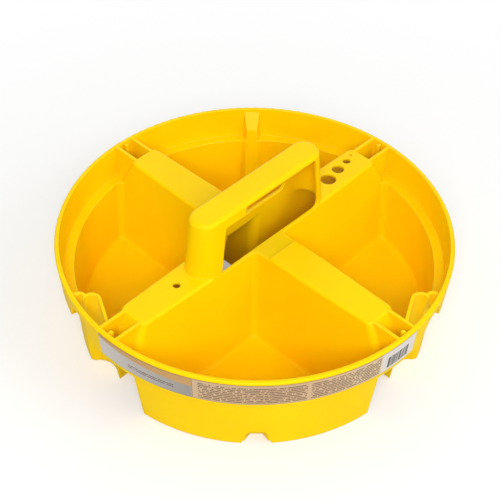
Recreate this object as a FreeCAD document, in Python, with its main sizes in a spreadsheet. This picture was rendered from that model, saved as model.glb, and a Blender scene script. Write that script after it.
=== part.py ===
# Round drop-in parts tray for a round pail, moulded in one piece, with a paper label on its rim band.
# Millimetres, +Z up, origin at the centre of the base. The arms lie along X and Y, the handle along X.
import FreeCAD
import Part

import math
import os
import re

import Sketcher
from FreeCAD import Placement, Rotation, Vector

os.makedirs("parts", exist_ok=True)
doc = FreeCAD.newDocument("parts_tray")

# Driving sizes in millimetres and degrees. Sloping faces are sized where they meet the top unless
# the note says otherwise.
SIZES = [
    # Band round the top, with its rolled rim and the ledge below it
    ("rim_radius", 129.5, "outer radius of the band at the rim"),
    ("rim_height", 72.0, "rim above the base"),
    ("rim_rounding", 1.2, "rounding of the outer rim edge"),
    ("band_height", 24.0, "band from the rim to its lower edge"),
    ("band_wall", 3.0, "thickness of the band, measured level"),
    ("band_draft", 5.4, "lean of the band from upright"),
    ("ledge_thickness", 2.0, "ledge that joins the band to the cups"),
    ("ledge_overhang", 6.83, "lower edge of the band beyond the cups under it"),
    # Cups below the band
    ("base_inset", 3.0, "how much less the cups' radius is at the base"),
    ("tub_wall", 2.2, "outer wall of the cups, measured level"),
    ("floor_thickness", 2.4, "floor of the cups"),
    ("base_rounding", 1.2, "rounding of the outer bottom edge"),
    ("wall", 2.2, "walls between the cups and the hollow arms"),
    ("wall_draft", 6.2, "lean of those walls from upright"),
    ("cup_corner", 4.0, "rounding of the upright inner corners"),
    ("cup_floor_rounding", 3.0, "rounding where the floor meets the walls"),
    # Four hollow arms
    ("arm_half_width", 12.4, "half width of an arm beside the handle"),
    ("arm_tip_half_width", 10.9, "half width of an arm at its tip"),
    ("arm_straight", 50.0, "distance from the centre where an arm starts to narrow"),
    ("tip_gap", 19.5, "from the tip of an arm to the band"),
    ("tip_foot_gap", 6.42, "the same at the level of the ledge, as the tip slopes"),
    ("tip_corner", 4.2, "rounding of the corners of the tip"),
    ("arm_rounding", 2.0, "rounding of an arm's top edges"),
    ("plate", 2.2, "top plate of an arm"),
    ("end_wall", 2.2, "sloping wall that closes the tip of an arm"),
    ("fin_gap", 11.9, "gap between the two fins past each tip"),
    ("fin_thickness", 2.0, "each fin"),
    ("rib_width", 2.2, "rib inside the band between the fins"),
    ("rib_depth", 1.3, "how far that rib stands out"),
    ("rib_drop", 1.6, "how far that rib reaches below the band"),
    ("rib_top", 0.8, "top of that rib below the rim"),
    # Carrying handle
    ("handle_height", 41.5, "top of the handle above the rim"),
    ("handle_end_gap", 48.7, "from each end of the handle to the tip of the arm, at the rim"),
    ("handle_end_lean", 4.0, "how much further in each end is at the top"),
    ("handle_top_half_width", 9.8, "half width at the top"),
    ("handle_wall", 2.2, "walls of the handle"),
    ("handle_rounding", 2.7, "rounding of the top edge"),
    ("front_sill", 1.7, "bottom of the front window below the rim"),
    ("front_lintel", 3.2, "top of the front window below the top of the handle"),
    ("left_lintel", 9.0, "the same past the step at its left end"),
    ("lintel_step", 19.0, "that step from the middle of the handle"),
    ("left_post", 15.9, "front window from the left end of the handle, at its sill"),
    ("left_post_top", 17.5, "the same at its top"),
    ("right_post", 10.4, "front window from the right end of the handle, at its sill"),
    ("right_post_top", 8.6, "the same at its top"),
    ("back_sill", 6.4, "bottom of the back window above the rim"),
    ("back_lintel", 5.0, "top of the back window below the top of the handle"),
    ("back_post", 19.7, "back window from both ends of the handle, at its sill"),
    ("back_post_top", 17.7, "the same at its top"),
    ("window_corner", 2.0, "rounding of the window corners"),
    ("window_big_corner", 5.0, "rounding of the lower corners at the right and at the back"),
    # Sizing holes in the arms beside the handle
    ("gauge_one", 11.0, "diameter of the largest hole"),
    ("gauge_one_in", 35.6, "its middle from the tip of the arm"),
    ("gauge_two", 8.6, "diameter of the second hole"),
    ("gauge_two_in", 23.2, "its middle from the tip"),
    ("gauge_two_off", 2.3, "its middle from the middle of the arm"),
    ("gauge_three", 5.6, "diameter of the third hole"),
    ("gauge_three_in", 12.6, "its middle from the tip"),
    ("gauge_three_off", 3.7, "its middle from the middle of the arm"),
    ("gauge_four", 2.2, "diameter of the smallest hole"),
    ("gauge_four_in", 5.8, "its middle from the tip"),
    ("gauge_four_off", 5.9, "its middle from the middle of the arm"),
    ("lone_hole", 5.2, "diameter of the hole in the opposite arm"),
    ("lone_hole_in", 37.0, "its middle from the tip of that arm"),
    # Hollow pilaster in the middle of the front and back cups
    ("pilaster_depth", 5.7, "its face from the band, at the rim"),
    ("pilaster_foot_depth", 8.2, "its face from the outer wall, at the base"),
    ("pilaster_half_width", 3.1, "half width of its face at the rim"),
    ("pilaster_foot_half_width", 5.0, "half width of its face at the base"),
    ("pilaster_root", 5.4, "half width where its sides meet the band, at the rim"),
    ("pilaster_foot_root", 9.9, "half width where they meet the outer wall, at the base"),
    ("pilaster_drop", 2.0, "top of its ramp below the rim"),
    ("pilaster_ramp", 53.0, "slope of that ramp from level"),
    ("pilaster_void", 40.0, "height of the hollow behind its lower part"),
    ("foot_notch_width", 19.2, "notch in the outer wall behind it, at the base"),
    ("foot_notch_top", 11.4, "width of that notch at its top"),
    ("foot_notch_height", 12.8, "height of that notch"),
    ("foot_notch_corner", 4.5, "rounding of its upper corners"),
    # Channel in the front corner of the left and right cups, behind a wall with two lobes
    ("channel_drop", 2.0, "top of the lobed wall below the rim"),
    ("channel_wall", 1.9, "thickness of the lobed wall"),
    ("lobe_radius", 6.4, "radius of the lobe nearer the arm"),
    ("lobe_in", 8.26, "its centre from the band"),
    ("lobe_across", 29.5, "its centre from the arm's middle"),
    ("small_lobe_radius", 4.75, "radius of the other lobe"),
    ("small_lobe_in", 2.58, "its centre from the band"),
    ("small_lobe_across", 36.9, "its centre from the arm's middle"),
    ("channel_slant", 28.2, "lean of the straight part of the lobed wall"),
    ("notch_across", 29.0, "middle of the band notch from the arm's middle, at the cups' wall"),
    ("notch_width", 30.8, "notch in the band outside the channel, at its lower edge"),
    ("notch_top_width", 13.2, "width of that notch at its top"),
    ("notch_drop", 6.0, "top of that notch below the rim"),
    ("notch_corner", 3.0, "rounding of its upper corners"),
    # Paper label stuck round the front of the band
    ("label_drop", 1.9, "upper edge of the label below the rim"),
    ("label_height", 19.0, "height of the label"),
    ("label_thickness", 0.25, "paper and glue"),
    ("label_start", 177.4, "bearing of its first end from +X"),
    ("label_length", 214.7, "length of the label round the band"),
]

sheet = doc.addObject("Spreadsheet::Sheet", "Sizes")
for row, (alias, number, note) in enumerate(SIZES, start=1):
    sheet.set("A%d" % row, note)
    sheet.set("B%d" % row, str(number))
    sheet.setAlias("B%d" % row, alias)
doc.recompute()

NAMES = {alias for alias, number, note in SIZES}
# Cutting tools reach this far out, well clear of the tray
FAR = 150.0
# How far a cutting tool runs past the face that it opens
PAST = 0.5
# Edges closer than this to a level count as lying in it
NEAR = 0.01

# Levels and radii that follow from the sizes
BAND_BOTTOM = "(rim_height - band_height)"
LEDGE_TOP = "(rim_height - band_height + ledge_thickness)"
SKIRT_RADIUS = "(rim_radius - band_height * tan(band_draft))"
SHOULDER_RADIUS = "(%s - ledge_overhang)" % SKIRT_RADIUS
BASE_RADIUS = "(%s - base_inset)" % SHOULDER_RADIUS
BAND_INSIDE = "(rim_radius - band_wall)"
ARM_END = "(%s - tip_gap)" % BAND_INSIDE
ARM_FOOT = "(%s - (rim_height - %s) * tan(band_draft) - tip_foot_gap)" % (BAND_INSIDE, LEDGE_TOP)
PLATE_BOTTOM = "(rim_height - plate)"
TIP_SLOPE = "((%s - %s) / (rim_height - %s))" % (ARM_FOOT, ARM_END, LEDGE_TOP)
NARROWING = "((arm_half_width - arm_tip_half_width) / (%s - arm_straight))" % ARM_END
ARM_FAR = "(arm_tip_half_width - (%s - %s) * %s)" % (FAR, ARM_END, NARROWING)
SIDE_WALL = "(wall / cos(wall_draft))"
HANDLE_TOP = "(rim_height + handle_height)"
HANDLE_END = "(%s - handle_end_gap)" % ARM_END
HANDLE_TOP_END = "(%s - handle_end_lean)" % HANDLE_END
CHANNEL_TOP = "(rim_height - channel_drop)"
CHANNEL_SPREAD = "(%s * tan(wall_draft))" % CHANNEL_TOP
CHANNEL_REACH = "(lobe_across / cos(channel_slant))"


def sized(text):
    """Point every size that an expression names at the sheet."""
    return re.sub(r"[a-z_]+", lambda found: "Sizes." * (found.group() in NAMES) + found.group(), str(text))


def value(text):
    """Work an expression out to a number."""
    return float(sheet.evalExpression(sized(text)))


def tub_inside(level):
    """Inner radius of the cups' outer wall at a level."""
    return "(%s - tub_wall + (%s) * base_inset / %s)" % (BASE_RADIUS, level, BAND_BOTTOM)


def band_inside(level):
    """Inner radius of the band at a level."""
    return "(%s - (rim_height - (%s)) * tan(band_draft))" % (BAND_INSIDE, level)


def tip_face(level, back=0):
    """Distance from the centre to an arm's sloping tip at a level, or to a face behind it."""
    slope = "%s * (rim_height - (%s))" % (TIP_SLOPE, level)
    return "(%s + %s - (%s) / cos(atan(%s)))" % (ARM_END, slope, back, TIP_SLOPE)


def bind(thing, **expressions):
    """Tie properties of an object to expressions in the sizes."""
    for name, text in expressions.items():
        thing.setExpression(name.replace("__", "."), sized(text))
    return thing


def add(kind, name, turn=None, **expressions):
    """Add a primitive, turned where asked, with its properties tied to the sizes."""
    thing = doc.addObject(kind, name)
    if turn:
        thing.Placement = Placement(Vector(), turn)
    return bind(thing, **expressions)


def outline(name, corners, turn=None, level=0):
    """A closed sketch of straight lines whose corners are pairs of expressions."""
    sketch = doc.addObject("Sketcher::SketchObject", name)
    points = [Vector(value(x), value(y), 0) for x, y in corners]
    count = len(points)
    for start in range(count):
        sketch.addGeometry(Part.LineSegment(points[start], points[(start + 1) % count]))
    for start in range(count):
        sketch.addConstraint(Sketcher.Constraint("Coincident", start, 2, (start + 1) % count, 1))
    for start, (x, y) in enumerate(corners):
        for kind, text, at in (("DistanceX", x, points[start].x), ("DistanceY", y, points[start].y)):
            number = sketch.addConstraint(Sketcher.Constraint(kind, -1, 1, start, 1, at))
            sketch.setExpression("Constraints[%d]" % number, sized(text))
    sketch.Placement = Placement(Vector(), turn or Rotation())
    return bind(sketch, Placement__Base__z=level)


def slot(name, half_length, radius, level):
    """A closed sketch of a slot along X with round ends."""
    sketch = doc.addObject("Sketcher::SketchObject", name)
    size = value(radius)
    reach = value(half_length) - size
    up = Vector(0, 0, 1)
    left = Part.Circle(Vector(-reach, 0, 0), up, size)
    right = Part.Circle(Vector(reach, 0, 0), up, size)
    sketch.addGeometry(Part.LineSegment(Vector(-reach, -size, 0), Vector(reach, -size, 0)))
    sketch.addGeometry(Part.ArcOfCircle(right, -math.pi / 2, math.pi / 2))
    sketch.addGeometry(Part.LineSegment(Vector(reach, size, 0), Vector(-reach, size, 0)))
    sketch.addGeometry(Part.ArcOfCircle(left, math.pi / 2, math.pi * 3 / 2))
    for first, second in ((0, 1), (1, 2), (2, 3), (3, 0)):
        sketch.addConstraint(Sketcher.Constraint("Tangent", first, 2, second, 1))
    sketch.addConstraint(Sketcher.Constraint("PointOnObject", 1, 3, -1))
    sketch.addConstraint(Sketcher.Constraint("Equal", 1, 3))
    sketch.addConstraint(Sketcher.Constraint("Symmetric", 1, 3, 3, 3, -1, 1))
    width = sketch.addConstraint(Sketcher.Constraint("Radius", 1, size))
    length = sketch.addConstraint(Sketcher.Constraint("DistanceX", -1, 1, 1, 3, reach))
    sketch.setExpression("Constraints[%d]" % width, sized(radius))
    sketch.setExpression("Constraints[%d]" % length, sized("%s - (%s)" % (half_length, radius)))
    return bind(sketch, Placement__Base__z=level)


def extrude(name, sketch, length, towards, taper=0, both_ways=False):
    """Extrude a sketch, with a taper in degrees that widens it where positive."""
    solid = doc.addObject("Part::Extrusion", name)
    solid.Base = sketch
    solid.DirMode = "Custom"
    solid.Dir = towards
    solid.Solid = True
    solid.Symmetric = both_ways
    return bind(solid, LengthFwd=length, TaperAngle=taper)


def revolve(name, sketch, sweep="360", start="0"):
    """Revolve an upright sketch about Z."""
    solid = doc.addObject("Part::Revolution", name)
    solid.Source = sketch
    solid.Axis = Vector(0, 0, 1)
    solid.Solid = True
    return bind(solid, Angle=sweep, Placement__Rotation__Angle=start)


def loft(name, sections):
    """A solid of straight sides through level sketches."""
    solid = doc.addObject("Part::Loft", name)
    solid.Sections = sections
    solid.Solid = True
    solid.Ruled = True
    return solid


def join(name, *solids):
    """Fuse solids."""
    result = doc.addObject("Part::MultiFuse", name)
    result.Shapes = list(solids)
    result.Refine = True
    return result


def overlap(name, *solids):
    """Keep what all the solids share."""
    result = doc.addObject("Part::MultiCommon", name)
    result.Shapes = list(solids)
    return result


def cut(name, body, *tools):
    """Take tools away from a body."""
    tool = tools[0] if len(tools) == 1 else join(name + "_tools", *tools)
    result = doc.addObject("Part::Cut", name)
    result.Base = body
    result.Tool = tool
    result.Refine = True
    return result


def round_edges(name, body, radius, chosen):
    """Fillet the edges of a body that a test chooses."""
    doc.recompute()
    numbers = [number for number, edge in enumerate(body.Shape.Edges, start=1) if chosen(edge)]
    if not numbers:
        raise RuntimeError("no edge to round for " + name)
    result = doc.addObject("Part::Fillet", name)
    result.Base = body
    size = value(radius)
    result.Edges = [(number, size, size) for number in numbers]
    doc.recompute()
    return result


def middle(edge):
    """The point halfway along an edge."""
    return edge.valueAt((edge.FirstParameter + edge.LastParameter) / 2)


def at_level(edge, text):
    """Whether all of an edge lies at a level."""
    box = edge.BoundBox
    level = value(text)
    return abs(box.ZMin - level) < NEAR and abs(box.ZMax - level) < NEAR


def bearing(degrees):
    """A turn about Z."""
    return Rotation(Vector(0, 0, 1), degrees)


def runs_down(edge, nearest, furthest):
    """Whether an edge runs down between two distances from the middle of the tray."""
    away = math.hypot(middle(edge).x, middle(edge).y)
    return edge.BoundBox.ZLength > value("ledge_thickness") and value(nearest) < away < value(furthest)


# An upright sketch plane: the sketch's X runs outwards and its Y upwards
UPRIGHT = Rotation(Vector(1, 0, 0), 90)
UP = Vector(0, 0, 1)
DOWN = Vector(0, 0, -1)


def turned(thing, degrees):
    """The same solid again, turned about Z."""
    copy = doc.addObject("App::Link", "%s_at_%d" % (thing.Name, degrees))
    copy.LinkedObject = thing
    copy.LinkTransform = True
    copy.Placement = Placement(Vector(), bearing(degrees))
    return copy


def all_round(thing):
    """A solid and its copies at the other three quarter turns."""
    return [thing] + [turned(thing, degrees) for degrees in (90, 180, 270)]


def mirrored(thing):
    """The same solid on the other side of the tray's front-to-back diagonal."""
    copy = doc.addObject("Part::Mirroring", thing.Name + "_mirrored")
    copy.Source = thing
    copy.Normal = Vector(1, -1, 0)
    return copy


def drum():
    """Outer form of the moulding: tapered cups, ledge and leaning band, filled in."""
    profile = outline("drum_profile", [
        ("0", "0"),
        (BASE_RADIUS, "0"),
        (SHOULDER_RADIUS, BAND_BOTTOM),
        (SKIRT_RADIUS, BAND_BOTTOM),
        ("rim_radius", "rim_height"),
        ("0", "rim_height"),
    ], UPRIGHT)
    solid = revolve("drum_solid", profile)
    rim = round_edges("drum_rim", solid, "rim_rounding",
                      lambda edge: at_level(edge, "rim_height") and edge.Length > FAR)
    return round_edges("drum", rim, "base_rounding",
                       lambda edge: at_level(edge, "0") and edge.Length > FAR)


def bore():
    """The round space inside the band."""
    return add("Part::Cone", "bore", Radius1=band_inside("%s - %s" % (BAND_BOTTOM, PAST)),
               Radius2=band_inside("rim_height"), Height="band_height + %s" % PAST,
               Placement__Base__z="%s - %s" % (BAND_BOTTOM, PAST))


def cross(name, half, far, corner):
    """Four arms that widen downwards from the rim to the base, with rounded inner corners."""
    arm = [
        (half, "-" + half),
        ("arm_straight", "-" + half),
        (FAR, "-" + far),
        (FAR, far),
        ("arm_straight", half),
    ]
    corners = []
    for quarter in range(4):
        corners += arm
        arm = [("-(%s)" % y, x) for x, y in arm]
    plan = outline(name + "_plan", corners, level="rim_height")
    prism = extrude(name + "_prism", plan, "rim_height", DOWN, "wall_draft")
    return round_edges(name, prism, corner, lambda edge: runs_down(edge, "0", "arm_straight"))


def arm_limits(name, profile):
    """The space under a profile drawn along X and again along Y, as wide as the arms need."""
    limits = []
    for number in range(2):
        side = outline("%s_profile_%d" % (name, number), profile, bearing(90 * number) * UPRIGHT)
        across = bearing(90 * number).multVec(Vector(0, 1, 0))
        limits.append(extrude("%s_%d" % (name, number), side, "2 * arm_straight", across, both_ways=True))
    return join(name, *limits)


def arms():
    """Outer form of the four arms above the ledge, with sloping tips and rounded edges."""
    low, high = tip_face(LEDGE_TOP), tip_face("rim_height")
    limits = arm_limits("arm_limits", [
        ("-" + low, LEDGE_TOP),
        (low, LEDGE_TOP),
        (high, "rim_height"),
        ("-" + high, "rim_height"),
    ])
    square = overlap("arms_square", cross("arm_sides", "arm_half_width", ARM_FAR, "cup_corner"), limits)
    cornered = round_edges("arms_cornered", square, "tip_corner",
                           lambda edge: runs_down(edge, ARM_END + " - tip_corner", str(FAR)))
    return round_edges("arms", cornered, "arm_rounding", lambda edge: at_level(edge, "rim_height"))


def cup():
    """The space inside one cup, up to the ledge."""
    plan = outline("cup_plan", [
        ("arm_half_width", "arm_half_width"),
        ("arm_straight", "arm_half_width"),
        (FAR, ARM_FAR),
        (FAR, FAR),
        (ARM_FAR, FAR),
        ("arm_half_width", "arm_straight"),
    ], level="rim_height")
    prism = extrude("cup_prism", plan, "rim_height", DOWN, "-wall_draft")
    inside = round_edges("cup_inside", prism, "cup_corner",
                         lambda edge: runs_down(edge, "0", "arm_straight"))
    limits = revolve("cup_limits", outline("cup_profile", [
        ("0", "floor_thickness"),
        (tub_inside("floor_thickness"), "floor_thickness"),
        (tub_inside(LEDGE_TOP), LEDGE_TOP),
        ("0", LEDGE_TOP),
    ], UPRIGHT))
    cornered = round_edges("cup_cornered", overlap("cup_square", inside, limits), "cup_corner",
                           lambda edge: runs_down(edge, ARM_END, str(FAR)))
    return round_edges("cup", cornered, "cup_floor_rounding", lambda edge: at_level(edge, "floor_thickness"))


def mouth():
    """The space inside the band, above the ledge and round the arms."""
    limits = revolve("mouth_limits", outline("mouth_profile", [
        ("0", LEDGE_TOP),
        (band_inside(LEDGE_TOP), LEDGE_TOP),
        (band_inside("rim_height"), "rim_height"),
        ("0", "rim_height"),
    ], UPRIGHT))
    return cut("mouth", limits, arms())


def fins():
    """The two fins that join the tip of one arm to the band."""
    pair = []
    for name, face in (("left_fin", "fin_gap / 2"), ("right_fin", "-fin_gap / 2 - fin_thickness")):
        pair.append(add("Part::Box", name, Length=FAR, Width="fin_thickness", Height="band_height",
                        Placement__Base__x=ARM_END + " - 2 * arm_rounding", Placement__Base__y=face,
                        Placement__Base__z=BAND_BOTTOM))
    return join("fins", *pair)


def pocket(ring):
    """The slot between the two fins past one arm's tip, open at the bottom."""
    low = "%s - %s" % (BAND_BOTTOM, PAST)
    side = outline("pocket_profile", [
        (tip_face("rim_height"), "rim_height"),
        (tip_face(low), low),
        (FAR, low),
        (FAR, "rim_height"),
    ], UPRIGHT)
    return overlap("pocket", extrude("pocket_wedge", side, "fin_gap", Vector(0, 1, 0), both_ways=True), ring)


def lobed(name, inset):
    """The right-hand channel out to the cup's face of its lobed wall, less an inset."""
    along = "sqrt((%s - lobe_in) ^ 2 - lobe_across ^ 2)" % BAND_INSIDE
    small_along = "sqrt((%s - small_lobe_in) ^ 2 - small_lobe_across ^ 2)" % BAND_INSIDE
    parts = []
    for number, (radius, out, across) in enumerate((
            ("lobe_radius", along, "lobe_across"),
            ("small_lobe_radius", small_along, "small_lobe_across"))):
        parts.append(add("Part::Cone", "%s_lobe_%d" % (name, number),
                         Radius1="%s - %s + %s" % (radius, inset, CHANNEL_SPREAD),
                         Radius2="%s - %s" % (radius, inset),
                         Height=CHANNEL_TOP,
                         Placement__Base__x=across,
                         Placement__Base__y="-" + out))
    between = outline(name + "_between_plan", [
        ("lobe_across", "-" + along),
        ("small_lobe_across", "-" + small_along),
        ("small_lobe_across", "-%s" % FAR),
        ("lobe_across", "-%s" % FAR),
    ])
    parts.append(extrude(name + "_between", between, CHANNEL_TOP, UP))
    face = "lobe_radius - %s" % inset
    straight = add("Part::Wedge", name + "_straight",
                   Xmin="0", Xmax=CHANNEL_REACH, X2min="0", X2max=CHANNEL_REACH,
                   Ymin="0", Ymax=CHANNEL_TOP,
                   Zmin="-" + CHANNEL_REACH, Z2min="-" + CHANNEL_REACH,
                   Zmax="%s + %s" % (face, CHANNEL_SPREAD), Z2max=face,
                   Placement__Base__x="lobe_across", Placement__Base__y="-" + along)
    lean = value("channel_slant")
    straight.Placement.Rotation = bearing(lean - 180) * UPRIGHT
    return join(name, *parts, straight)


def channel_space(ring):
    """The open channel between the lobed wall, the band and the fin, and below the band."""
    beside_fin = add("Part::Box", "beside_fin", Length=FAR, Width=FAR, Height="rim_height",
                     Placement__Base__x="fin_gap / 2 + fin_thickness", Placement__Base__y="-%s" % FAR)
    upper = overlap("channel_upper", ring, beside_fin)
    lower = add("Part::Cylinder", "channel_lower", Radius=FAR, Height=BAND_BOTTOM)
    limits = join("channel_limits", upper, lower)
    return overlap("channel_space", lobed("channel_inside", "channel_wall"), limits)


def pilaster(name, inset):
    """The back cup's pilaster, less an inset on its three sides."""
    face = "(%s - pilaster_depth)" % BAND_INSIDE
    foot_face = "(%s - pilaster_foot_depth)" % tub_inside("0")

    def section(part, level, wall):
        """Its outline at a level, from its face to the wall that carries it."""
        near, half, root = [
            "(%s + (%s - %s) * %s / rim_height)" % (low, high, low, level) for low, high in (
                (foot_face, face),
                ("pilaster_foot_half_width", "pilaster_half_width"),
                ("pilaster_foot_root", "pilaster_root"))]
        near = "(%s + %s)" % (near, inset)
        half = "(%s - %s / 2)" % (half, inset)
        root = "(%s - %s)" % (root, inset)
        return outline("%s_%s" % (name, part), [
            (near, "-" + half),
            (wall, "-" + root),
            ("rim_radius", "-" + root),
            ("rim_radius", root),
            (wall, root),
            (near, half),
        ], bearing(45), level)

    lower = loft(name + "_lower", [section("foot", "0", tub_inside("0")),
                                   section("waist", LEDGE_TOP, tub_inside(LEDGE_TOP))])
    upper = loft(name + "_upper", [section("shelf", LEDGE_TOP, band_inside(LEDGE_TOP)),
                                   section("top", "rim_height", band_inside("rim_height"))])
    start = "(rim_height - pilaster_drop - %s / cos(pilaster_ramp))" % inset
    back = "(%s - (%s - %s) * tan(pilaster_ramp))" % (start, BAND_INSIDE, foot_face)
    front = "(%s + (rim_radius - %s) * tan(pilaster_ramp))" % (start, BAND_INSIDE)
    under_ramp = outline(name + "_ramp_profile", [
        ("0", "0"),
        ("rim_radius", "0"),
        ("rim_radius", front),
        (foot_face, back),
        ("0", back),
    ], bearing(45) * UPRIGHT)
    below = extrude(name + "_ramp", under_ramp, "rim_radius", bearing(45).multVec(Vector(0, 1, 0)),
                    both_ways=True)
    return overlap(name, join(name + "_shaft", lower, upper), below)


def pilaster_space(ring):
    """The hollow behind the pilaster: inside the cups' outer wall below, inside the band above."""
    inside = pilaster("pilaster_inside", "tub_wall")
    low = add("Part::Cone", "pilaster_low", Radius1=tub_inside("0"), Radius2=tub_inside("pilaster_void"),
              Height="pilaster_void")
    shoulder = add("Part::Cylinder", "pilaster_shoulder", Radius=SHOULDER_RADIUS, Height="rim_height")
    high = cut("pilaster_high", ring, shoulder)
    return overlap("pilaster_space", inside, join("pilaster_limits", low, high))


def foot_notch():
    """Notch with round upper corners through the outer wall at the foot of the back pilaster."""
    shape = outline("foot_notch_profile", [
        ("-foot_notch_width / 2", "0"),
        ("foot_notch_width / 2", "0"),
        ("foot_notch_top / 2", "foot_notch_height"),
        ("-foot_notch_top / 2", "foot_notch_height"),
    ], bearing(45 + 90) * UPRIGHT)
    start = "(%s - %s)" % (tub_inside("0"), PAST)
    bind(shape, Placement__Base__x=start + " * cos(45)", Placement__Base__y=start + " * sin(45)")
    prism = extrude("foot_notch_prism", shape, FAR, bearing(45).multVec(Vector(1, 0, 0)))
    return round_edges("foot_notch", prism, "foot_notch_corner",
                       lambda edge: at_level(edge, "foot_notch_height") and edge.Length > FAR - NEAR)


def band_notch():
    """Rounded notch in the band outside the right-hand channel."""
    away = "sqrt(%s ^ 2 - notch_across ^ 2)" % SHOULDER_RADIUS
    turn = math.degrees(math.atan2(-value(away), value("notch_across")))
    shape = outline("band_notch_profile", [
        ("-notch_width / 2", BAND_BOTTOM),
        ("notch_width / 2", BAND_BOTTOM),
        ("notch_top_width / 2", "rim_height - notch_drop"),
        ("-notch_top_width / 2", "rim_height - notch_drop"),
    ], bearing(turn + 90) * UPRIGHT)
    bind(shape, Placement__Base__x="notch_across", Placement__Base__y="-" + away)
    prism = extrude("band_notch_prism", shape, FAR, bearing(turn).multVec(Vector(1, 0, 0)))
    return round_edges("band_notch", prism, "notch_corner",
                       lambda edge: at_level(edge, "rim_height - notch_drop") and edge.Length > FAR - NEAR)


def arm_core():
    """The hollow of the four arms, open at the bottom and, under the band, at its ends."""
    sides = cross("core_sides", "(arm_half_width - %s)" % SIDE_WALL, "(%s - %s)" % (ARM_FAR, SIDE_WALL),
                  "cup_corner + wall")
    tip_low = tip_face(BAND_BOTTOM, "end_wall")
    tip_high = tip_face(PLATE_BOTTOM, "end_wall")
    return overlap("arm_core", sides, arm_limits("core_limits", [
        ("-%s" % FAR, "0"),
        (FAR, "0"),
        (FAR, BAND_BOTTOM),
        (tip_low, BAND_BOTTOM),
        (tip_high, PLATE_BOTTOM),
        ("-" + tip_high, PLATE_BOTTOM),
        ("-" + tip_low, BAND_BOTTOM),
        ("-%s" % FAR, BAND_BOTTOM),
    ]))


def rib():
    """Rib inside the band, between the fins past one arm's tip."""
    return add("Part::Box", "rib", Length="rib_depth + band_wall / 2", Width="rib_width",
               Height="band_height + rib_drop - rib_top",
               Placement__Base__x="%s - rib_depth" % band_inside(BAND_BOTTOM),
               Placement__Base__y="-rib_width / 2",
               Placement__Base__z="%s - rib_drop" % BAND_BOTTOM)


def handle_form(name, inset):
    """The carrying handle as a leaning loop with round ends, less an inset."""
    foot_level = "(rim_height - arm_rounding - %s)" % PAST
    foot_radius = "(arm_half_width + (rim_height - %s) * tan(wall_draft))" % foot_level
    foot_length = "(%s - arm_half_width + %s)" % (HANDLE_END, foot_radius)
    sections = []
    for number, (half_length, radius, level) in enumerate((
            (foot_length, foot_radius, foot_level),
            (HANDLE_END, "arm_half_width", "rim_height"),
            (HANDLE_TOP_END, "handle_top_half_width", "%s - %s" % (HANDLE_TOP, inset)))):
        sections.append(slot("%s_section_%d" % (name, number), "(%s - %s)" % (half_length, inset),
                             "(%s - %s)" % (radius, inset), level))
    return loft(name, sections)


def window(name, corners, side, big_from):
    """A window through one long wall of the handle, on the side of -Y or Y. Its lower corners past big_from
    have the larger rounding."""
    prism = extrude(name + "_prism", outline(name + "_profile", corners, UPRIGHT), "2 * arm_half_width",
                    Vector(0, side, 0))
    deep = value("arm_half_width")
    low = value(corners[0][1])
    clear = low + 2 * value("window_big_corner")
    big = round_edges(name + "_big", prism, "window_big_corner",
                      lambda edge: edge.BoundBox.YLength > deep and edge.BoundBox.ZMax < low + PAST
                      and edge.BoundBox.XMax > big_from)
    return round_edges(name, big, "window_corner",
                       lambda edge: edge.BoundBox.YLength > deep and edge.BoundBox.XLength < NEAR
                       and (edge.BoundBox.ZMin > clear or edge.BoundBox.XMax < big_from))


def front_window():
    """The front window, with a step in its top near the left end."""
    sill = "rim_height - front_sill"
    top = HANDLE_TOP + " - front_lintel"
    left_top = HANDLE_TOP + " - left_lintel"
    return window("front_window", [
        ("left_post - " + HANDLE_END, sill),
        (HANDLE_END + " - right_post", sill),
        (HANDLE_TOP_END + " - right_post_top", top),
        ("-lintel_step", top),
        ("-lintel_step", left_top),
        ("left_post_top - " + HANDLE_TOP_END, left_top),
    ], -1, 0)


def back_window():
    """The back window, whose sill is higher."""
    sill = "rim_height + back_sill"
    top = HANDLE_TOP + " - back_lintel"
    return window("back_window", [
        ("back_post - " + HANDLE_END, sill),
        (HANDLE_END + " - back_post", sill),
        (HANDLE_TOP_END + " - back_post_top", top),
        ("back_post_top - " + HANDLE_TOP_END, top),
    ], 1, -FAR)


def hole(name, diameter, along, across="0"):
    """A round hole through an arm's top plate."""
    return add("Part::Cylinder", name, Radius=diameter + " / 2", Height="plate + 2 * %s" % PAST,
               Placement__Base__x=along, Placement__Base__y=across,
               Placement__Base__z="%s - %s" % (PLATE_BOTTOM, PAST))


def tray():
    """The whole moulding."""
    ring = bore()
    wall_right = lobed("channel_outside", "0")
    post = pilaster("pilaster", "0")
    spaces = join("spaces", *all_round(cup()), mouth())
    kept = join("kept", wall_right, mirrored(wall_right), post, turned(post, 180), *all_round(fins()))
    shell = cut("shell", drum(), cut("open_spaces", spaces, kept))
    channel = channel_space(ring)
    behind = pilaster_space(ring)
    foot = foot_notch()
    notch = band_notch()
    opened = cut("opened", shell, arm_core(), *all_round(pocket(ring)), channel, mirrored(channel),
                 behind, turned(behind, 180), foot, turned(foot, 180), notch, mirrored(notch))
    outer = handle_form("handle_outer", "0")
    grip = round_edges("handle_rounded", outer, "handle_rounding", lambda edge: at_level(edge, HANDLE_TOP))
    whole = join("whole", opened, grip, *all_round(rib()))
    gauges = [
        hole("gauge_hole_1", "gauge_one", ARM_END + " - gauge_one_in"),
        hole("gauge_hole_2", "gauge_two", ARM_END + " - gauge_two_in", "gauge_two_off"),
        hole("gauge_hole_3", "gauge_three", ARM_END + " - gauge_three_in", "gauge_three_off"),
        hole("gauge_hole_4", "gauge_four", ARM_END + " - gauge_four_in", "gauge_four_off"),
        hole("lone_gauge_hole", "lone_hole", "lone_hole_in - " + ARM_END),
    ]
    return cut("organizer_tray", whole, handle_form("handle_inner", "handle_wall"), front_window(),
               back_window(), *gauges)


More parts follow.
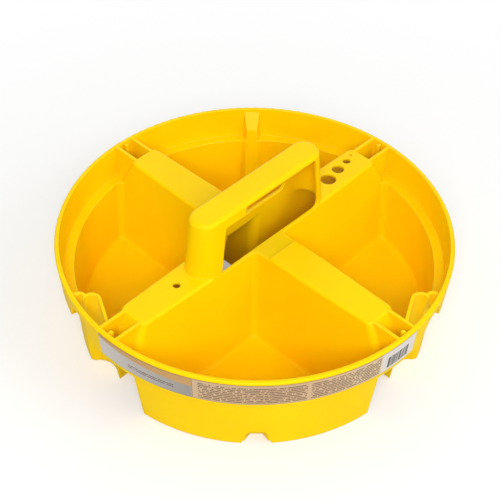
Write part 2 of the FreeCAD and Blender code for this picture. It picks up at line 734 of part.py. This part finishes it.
def label():
    """Paper strip that follows the outside of the band."""
    upper = "(rim_height - label_drop)"
    lower = "(rim_height - label_drop - label_height)"
    corners = []
    for level, out in ((lower, "0"), (lower, "label_thickness"), (upper, "label_thickness"), (upper, "0")):
        corners.append(("rim_radius - (rim_height - %s) * tan(band_draft) + %s" % (level, out), level))
    radius = "(rim_radius - (label_drop + label_height / 2) * tan(band_draft))"
    sweep = "label_length / %s * 180 / pi" % radius
    return revolve("label_strip", outline("label_profile", corners, UPRIGHT), sweep, "label_start")


pieces = [tray(), label()]
doc.recompute()

for thing in doc.Objects:
    if "Invalid" in thing.State or "Error" in thing.State:
        raise RuntimeError("%s did not compute: %s" % (thing.Name, thing.State))
for piece in pieces:
    piece.Label = piece.Name
    shape = piece.Shape
    if shape.isNull() or not shape.isValid() or len(shape.Solids) != 1:
        raise RuntimeError("%s is not one valid solid" % piece.Name)
    shape.exportStep("parts/%s.step" % piece.Label)
    print("%s: %.1f cm3, %d faces" % (piece.Label, shape.Volume / 1000, len(shape.Faces)))
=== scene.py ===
# A round drop-in tray for sorting small parts in a pail: one yellow moulding with four cups, hollow
# arms and a carrying handle, and a printed label stuck round the front of its rim band.
# Metres, +Z up, in the frame of the CAD model.
import math

import bpy
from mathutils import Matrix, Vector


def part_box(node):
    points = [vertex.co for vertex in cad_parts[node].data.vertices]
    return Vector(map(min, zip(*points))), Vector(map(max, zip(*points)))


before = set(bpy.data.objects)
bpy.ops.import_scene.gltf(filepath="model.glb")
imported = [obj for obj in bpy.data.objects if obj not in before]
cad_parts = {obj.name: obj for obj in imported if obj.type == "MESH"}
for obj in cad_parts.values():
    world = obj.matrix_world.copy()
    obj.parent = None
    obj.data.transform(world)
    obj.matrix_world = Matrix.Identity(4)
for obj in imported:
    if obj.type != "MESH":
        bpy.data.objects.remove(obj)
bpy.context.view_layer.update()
bpy.context.scene.view_settings.view_transform = "Standard"

# Camera: in front of the front cup, which is at -X -Y, and looking down at the tray from about
# 0.85 m with a long lens. Its place and turn were fitted to the rim, base and arms in the photograph.
lens = bpy.data.cameras.new("camera")
lens.sensor_width = 36.0
lens.lens = 93.48
camera = bpy.data.objects.new("camera", lens)
camera.location = (-0.44609, -0.41891, 0.64973)
camera.rotation_euler = [math.radians(angle) for angle in (45.7654, -0.7252, -45.8159)]
bpy.context.scene.collection.objects.link(camera)
bpy.context.scene.camera = camera


# Floor: a wide sheet of matt white studio paper, which keeps the tray's soft shadow. The camera
# sees it white, all the more so further out, where it runs into the white behind. It throws a
# little less light back up at the tray than such paper would.
def colour(hex_code):
    """Turn an sRGB hex colour to linear RGBA."""
    channels = [int(hex_code[start:start + 2], 16) / 255 for start in (1, 3, 5)]
    linear = [((c + 0.055) / 1.055) ** 2.4 if c > 0.04045 else c / 12.92 for c in channels]
    return (*linear, 1.0)


def add_node(tree, kind, inputs=None, **settings):
    """Add a shader node. Each input is a value, an output, or a node that gives its first output."""
    node = tree.nodes.new("ShaderNode" + kind)
    for name, setting in settings.items():
        setattr(node, name, setting)
    for socket, content in (inputs or {}).items():
        if isinstance(content, bpy.types.Node):
            content = content.outputs[0]
        if isinstance(content, bpy.types.NodeSocket):
            tree.links.new(content, node.inputs[socket])
        else:
            node.inputs[socket].default_value = content
    return node


def new_material(name):
    """Make an empty material and return it with its node tree."""
    material = bpy.data.materials.new(name)
    material.use_nodes = True
    material.node_tree.nodes.clear()
    return material, material.node_tree


# The paper lies half a millimetre under the tray's base, so that their faces don't mix
floor_width = 8.0
floor_drop = 0.0005
bpy.ops.object.select_all(action="DESELECT")
bpy.ops.mesh.primitive_plane_add(size=floor_width, location=(0, 0, -floor_drop))
floor = bpy.context.active_object
floor.name = "floor"
bpy.ops.object.transform_apply(location=True, rotation=True, scale=True)

# Matt paper gives the eye no highlight, only a trace of fibre. Its fibres are too fine to show, so
# they are drawn as clumps about 1.1 mm across.
paper, tree = new_material("white_studio_paper")
place = add_node(tree, "TexCoord").outputs["Object"]
seen_by_camera = add_node(tree, "LightPath").outputs["Is Camera Ray"]
fibres = add_node(tree, "TexNoise", {"Vector": place, "Scale": 900.0})
fibre_bump = add_node(tree, "Bump", {"Height": fibres, "Strength": 0.05, "Distance": 0.0002})
# A colour Mix takes its two colours on inputs 6 and 7 and gives the mixed one on output 2
paper_colour = add_node(tree, "Mix", {
    0: seen_by_camera, 6: colour("#C6C6C4"), 7: colour("#F6F6F4")}, data_type="RGBA").outputs[2]
paper_shader = add_node(tree, "BsdfPrincipled", {
    "Base Color": paper_colour, "Roughness": 0.9, "Normal": fibre_bump})

# For the camera the paper turns to the white behind it, from just inside the rim outwards
fade_start = 0.12
fade_end = 0.42
white_under_tray = 0.3
distance = add_node(tree, "VectorMath", {0: place}, operation="LENGTH").outputs["Value"]
fade = add_node(tree, "MapRange", {
    "Value": distance, "From Min": fade_start, "From Max": fade_end, "To Min": white_under_tray},
    interpolation_type="SMOOTHSTEP")
whiteness = add_node(tree, "Math", {0: fade, 1: seen_by_camera}, operation="MULTIPLY")
white_behind = add_node(tree, "Emission", {"Color": colour("#FFFFFF"), "Strength": 1.0})
paper_mix = add_node(tree, "MixShader", {0: whiteness, 1: paper_shader, 2: white_behind})
add_node(tree, "OutputMaterial", {"Surface": paper_mix})
floor.data.materials.append(paper)

# Light: three soft boxes, given with their width in metres and power in watts, and an even white
# surround, so shadows are faint. The key light stands behind the camera, the side light to its right
# shines into the window of the handle, and the back light reaches the far side.
for name, spot, width, power in (
        ("key_light", (-0.95, -0.85, 1.2), 0.6, 18.5),
        ("side_light", (0.3, -1.2, 1.0), 0.8, 6.0),
        ("back_light", (1.0, 1.1, 0.5), 1.0, 4.8)):
    lamp = bpy.data.lights.new(name, "AREA")
    lamp.shape = "SQUARE"
    lamp.size = width
    lamp.energy = power
    soft_box = bpy.data.objects.new(name, lamp)
    soft_box.location = spot
    soft_box.rotation_euler = (-soft_box.location).to_track_quat("-Z", "Y").to_euler()
    bpy.context.scene.collection.objects.link(soft_box)

# The camera and reflections see the surround white. It lights the tray at about half that.
world = bpy.data.worlds.new("studio")
bpy.context.scene.world = world
world.use_nodes = True
tree = world.node_tree
tree.nodes.clear()
path = add_node(tree, "LightPath").outputs
mirrored = add_node(tree, "Math", {0: path["Is Glossy Ray"], 1: path["Is Transmission Ray"]},
                    operation="MAXIMUM")
seen = add_node(tree, "Math", {0: path["Is Camera Ray"], 1: mirrored}, operation="MAXIMUM")
fill = add_node(tree, "Background", {"Color": colour("#FFFFFF"), "Strength": 0.52})
white = add_node(tree, "Background", {"Color": colour("#FFFFFF"), "Strength": 1.0})
surround = add_node(tree, "MixShader", {0: seen, 1: fill, 2: white})
add_node(tree, "OutputWorld", {"Surface": surround})

# Tray: one injection moulding in yellow polypropylene, with walls about 2.2 mm thick and spark-eroded
# faces. The plastic gives the eye broad soft highlights and a deep yellow, and light that soaks a few
# millimetres into it turns the shaded hollows orange.
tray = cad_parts["organizer_tray"]
plastic, tree = new_material("yellow_moulded_polypropylene")
place = add_node(tree, "TexCoord").outputs["Object"]

# The melt left faint clouds of two yellows as it flowed, about 55 mm across
flow = add_node(tree, "TexNoise", {"Vector": place, "Scale": 18.0, "Detail": 3.0, "Roughness": 0.5})
tint = add_node(tree, "ValToRGB", {"Fac": flow})
yellows = ((0.35, "#FDCC00"), (0.65, "#FFD202"))
for element, (position, hex_code) in zip(tint.color_ramp.elements, yellows):
    element.position = position
    element.color = colour(hex_code)

# Handling scuffed it in patches about 17 mm across, which are a little more or less glossy
wear = add_node(tree, "TexNoise", {"Vector": place, "Scale": 60.0, "Detail": 6.0, "Roughness": 0.6})
gloss = add_node(tree, "MapRange", {
    "Value": wear, "From Min": 0.3, "From Max": 0.7, "To Min": 0.36, "To Max": 0.48})

# Its edges are rounded by 0.6 mm in the shading. Where the rounding turns from the face, a paler yellow is
# painted on as a highlight, stronger in the scuffed patches.
edge_rounding = 0.0006
soft_edge = add_node(tree, "Bevel", {"Radius": edge_rounding}, samples=8)
true_normal = add_node(tree, "NewGeometry").outputs["Normal"]
facing = add_node(tree, "VectorMath", {0: soft_edge, 1: true_normal},
                  operation="DOT_PRODUCT").outputs["Value"]
on_edge = add_node(tree, "MapRange", {
    "Value": facing, "From Min": 0.99, "From Max": 0.80, "To Max": 0.75})
in_scuff = add_node(tree, "MapRange", {
    "Value": wear, "From Min": 0.35, "From Max": 0.6, "To Min": 0.45})
# Painted highlight: a paler yellow along the rounded edges, its strength varying with the scuff patches
painted_edge_highlight = add_node(tree, "Math", {0: on_edge, 1: in_scuff}, operation="MULTIPLY")
tint_with_edge_highlight = add_node(tree, "Mix", {0: painted_edge_highlight, 6: tint, 7: colour("#FFDE50")}, data_type="RGBA").outputs[2]

# Spark erosion leaves a grain of about 0.1 mm, too fine to show, so it is drawn 0.7 mm across. The
# walls also have a slow waviness, about 4 mm across, from the shrinking of the plastic.
grain = add_node(tree, "TexNoise", {"Vector": place, "Scale": 1400.0, "Detail": 2.0})
grain_bump = add_node(tree, "Bump", {
    "Height": grain, "Strength": 0.18, "Distance": 0.0001, "Normal": soft_edge})
waviness = add_node(tree, "TexNoise", {"Vector": place, "Scale": 260.0, "Detail": 1.0})
wavy_bump = add_node(tree, "Bump", {
    "Height": waviness, "Strength": 0.25, "Distance": 0.0003, "Normal": grain_bump})

# Red and green light soak in by 4 and 3.2 mm, and blue hardly at all
shader = add_node(tree, "BsdfPrincipled", {
    "Base Color": tint_with_edge_highlight, "Roughness": gloss, "IOR": 1.49, "Specular IOR Level": 0.08,
    "Subsurface Weight": 0.45, "Subsurface Radius": (1.0, 0.8, 0.06), "Subsurface Scale": 0.004,
    "Normal": wavy_bump})
add_node(tree, "OutputMaterial", {"Surface": shader})
tray.data.materials.clear()
tray.data.materials.append(plastic)

# Label: a printed paper strip under clear film, stuck to the band. A grey panel with a tan sweep and
# short broken rules, a tan panel with two blocks of rules and a white end with uneven bars stand for
# its print, and nothing in them spells or encodes anything.
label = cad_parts["label_strip"]
print_stock, tree = new_material("printed_paper_label")
place = add_node(tree, "TexCoord").outputs["Object"]

# The strip's place is read off its solid: its ends' bearings round Z, counted from -X, its mean radius
# and its lower and upper edges.
corners = [vertex.co for vertex in label.data.vertices]
bearings = [math.atan2(-corner.y, -corner.x) for corner in corners]
radii = [math.hypot(corner.x, corner.y) * 1000 for corner in corners]
strip_bearing = math.pi + (min(bearings) + max(bearings)) / 2
strip_radius = (min(radii) + max(radii)) / 2
half_strip = strip_radius * (max(bearings) - min(bearings)) / 2
strip_low, strip_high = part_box("label_strip")
strip_height = (strip_high.z - strip_low.z) * 1000

# Its measures are in millimetres: along it from its middle, to the right as one looks at it, and up
# from its lower edge. Its middle is turned to +X, so the angle round Z times its radius gives the way
# along.
turned = add_node(tree, "Mapping", {"Vector": place, "Rotation": (0.0, 0.0, -strip_bearing)})
axes = add_node(tree, "SeparateXYZ", {"Vector": turned}).outputs
bearing = add_node(tree, "Math", {0: axes["Y"], 1: axes["X"]}, operation="ARCTAN2")
along = add_node(tree, "Math", {0: bearing, 1: strip_radius}, operation="MULTIPLY")
above_foot = add_node(tree, "Math", {0: axes["Z"], 1: strip_low.z}, operation="SUBTRACT")
up = add_node(tree, "Math", {0: above_foot, 1: 1000.0}, operation="MULTIPLY")
past_end = half_strip + 1.0


def printed_patch(left, right, low=-1.0, high=strip_height + 1.0):
    """1 inside a rectangle of the strip, else 0. Without low and high it has the strip's full height."""
    across = add_node(tree, "Math", {0: along, 1: (left + right) / 2, 2: (right - left) / 2},
                      operation="COMPARE")
    upright = add_node(tree, "Math", {0: up, 1: (low + high) / 2, 2: (high - low) / 2},
                       operation="COMPARE")
    return add_node(tree, "Math", {0: across, 1: upright}, operation="MULTIPLY")


# Ground colours from the left end to the right: the grey, tan and white panels, each a little uneven. The
# grey panel is painted much paler towards the left end, as a highlight.
grounds_and_highlight = ((0.0, "#CFC9C4"), (0.10, "#BFB9B4"), (0.31, "#96918D"), (0.313, "#CBAE8B"), (0.50, "#C8A682"),
           (0.70, "#CDAE8A"), (0.864, "#D6BE98"), (0.867, "#D9D2CC"), (1.0, "#E0DAD5"))
share = add_node(tree, "MapRange", {"Value": along, "From Min": -half_strip, "From Max": half_strip})
panels_and_highlight = add_node(tree, "ValToRGB", {"Fac": share})
ramp = panels_and_highlight.color_ramp
while len(ramp.elements) < len(grounds_and_highlight):
    ramp.elements.new(0.5)
for element, (position, hex_code) in zip(ramp.elements, grounds_and_highlight):
    element.position = position
    element.color = colour(hex_code)

# The tan sweep hangs from the top of the grey panel, and its foot falls from 16 to 11 mm up the strip
grey_right = -40.1
sweep_foot = add_node(tree, "MapRange", {
    "Value": along, "From Min": -half_strip, "From Max": grey_right, "To Min": 16.0, "To Max": 11.0})
over_foot = add_node(tree, "Math", {0: up, 1: sweep_foot}, operation="GREATER_THAN")
grey_panel = printed_patch(-past_end, grey_right)
sweep = add_node(tree, "Math", {0: over_foot, 1: grey_panel}, operation="MULTIPLY")
swept = add_node(tree, "Mix", {0: sweep, 6: panels_and_highlight, 7: colour("#C4985F")}, data_type="RGBA").outputs[2]

# Broken rules for the fine print, in rows about as close as the photograph shows, each half as thick
# as their pitch. Noise along each row breaks it about every 2 mm, in each row at other places.
first_row = 1.6
last_row_top = 17.3
row_pitch = 1.75
rule_share = 0.52
words_per_mm = 0.55
row_shift = 7.3
from_first = add_node(tree, "Math", {0: up, 1: first_row}, operation="SUBTRACT")
rows = add_node(tree, "Math", {0: from_first, 1: row_pitch}, operation="DIVIDE")
row_number = add_node(tree, "Math", {0: rows}, operation="FLOOR")
row_start = add_node(tree, "Math", {0: row_number, 1: row_shift}, operation="MULTIPLY")
word_start = add_node(tree, "Math", {0: along, 1: words_per_mm}, operation="MULTIPLY")
word_place = add_node(tree, "CombineXYZ", {"X": word_start, "Y": row_start})
words = add_node(tree, "TexNoise", {"Vector": word_place, "Scale": 1.0, "Detail": 3.0})
in_word = add_node(tree, "Math", {0: words, 1: 0.43}, operation="GREATER_THAN")
in_row = add_node(tree, "Math", {0: rows}, operation="FRACT")
in_rule = add_node(tree, "Math", {0: in_row, 1: rule_share}, operation="LESS_THAN")
rules = add_node(tree, "Math", {0: in_rule, 1: in_word}, operation="MULTIPLY")
long_block = printed_patch(-36.5, 28.5, first_row, last_row_top)
short_block = printed_patch(31.0, 77.5, first_row, last_row_top)
grey_note = printed_patch(-84.0, -52.0, 5.1, 8.6)
tan_blocks = add_node(tree, "Math", {0: long_block, 1: short_block}, operation="ADD")
print_areas = add_node(tree, "Math", {0: tan_blocks, 1: grey_note}, operation="ADD")
fine_print = add_node(tree, "Math", {0: rules, 1: print_areas}, operation="MULTIPLY")
brown_ink = add_node(tree, "Math", {0: fine_print, 1: 0.85}, operation="MULTIPLY")
ruled = add_node(tree, "Mix", {0: brown_ink, 6: swept, 7: colour("#54382A")}, data_type="RGBA").outputs[2]

# Bars of uneven width on the white end, from a noise along the strip. They start with a plain one.
bar_left = 83.4
first_bar = 1.2
bar_place = add_node(tree, "CombineXYZ", {"X": along})
bar_noise = add_node(tree, "TexNoise", {"Vector": bar_place, "Scale": 1.1, "Detail": 4.0})
dark_bar = add_node(tree, "Math", {0: bar_noise, 1: 0.47}, operation="GREATER_THAN")
any_bar = add_node(tree, "Math", {0: dark_bar, 1: printed_patch(bar_left, bar_left + first_bar)},
                   operation="MAXIMUM")
bars = add_node(tree, "Math", {0: any_bar, 1: printed_patch(bar_left, 101.1, 2.4, 12.6)},
                operation="MULTIPLY")

# A fainter line where the grey and tan panels meet, and along both cut edges of the strip
edge_line = 0.35
seam = printed_patch(-40.4, -39.9)
off_edges = printed_patch(-past_end, past_end, edge_line, strip_height - edge_line)
edges = add_node(tree, "Math", {0: 1.0, 1: off_edges}, operation="SUBTRACT")
thin_lines = add_node(tree, "Math", {0: seam, 1: edges}, operation="MAXIMUM")
faint_lines = add_node(tree, "Math", {0: thin_lines, 1: 0.5}, operation="MULTIPLY")
inked = add_node(tree, "Math", {0: bars, 1: faint_lines}, operation="MAXIMUM")
black_ink = add_node(tree, "Math", {0: inked, 1: 0.9}, operation="MULTIPLY")
printed = add_node(tree, "Mix", {0: black_ink, 6: ruled, 7: colour("#33302E")}, data_type="RGBA").outputs[2]

# The clear film gives the eye a soft sheen, with faint creases about 22 mm apart where it didn't lie
# quite flat on the band
creases = add_node(tree, "TexNoise", {"Vector": place, "Scale": 45.0, "Detail": 3.0})
film_bump = add_node(tree, "Bump", {"Height": creases, "Strength": 0.25, "Distance": 0.0004})
film_gloss = add_node(tree, "MapRange", {"Value": creases, "To Min": 0.3, "To Max": 0.45})
shader = add_node(tree, "BsdfPrincipled", {
    "Base Color": printed, "Roughness": film_gloss, "Specular IOR Level": 0.3, "Normal": film_bump})
add_node(tree, "OutputMaterial", {"Surface": shader})
label.data.materials.clear()
label.data.materials.append(print_stock)
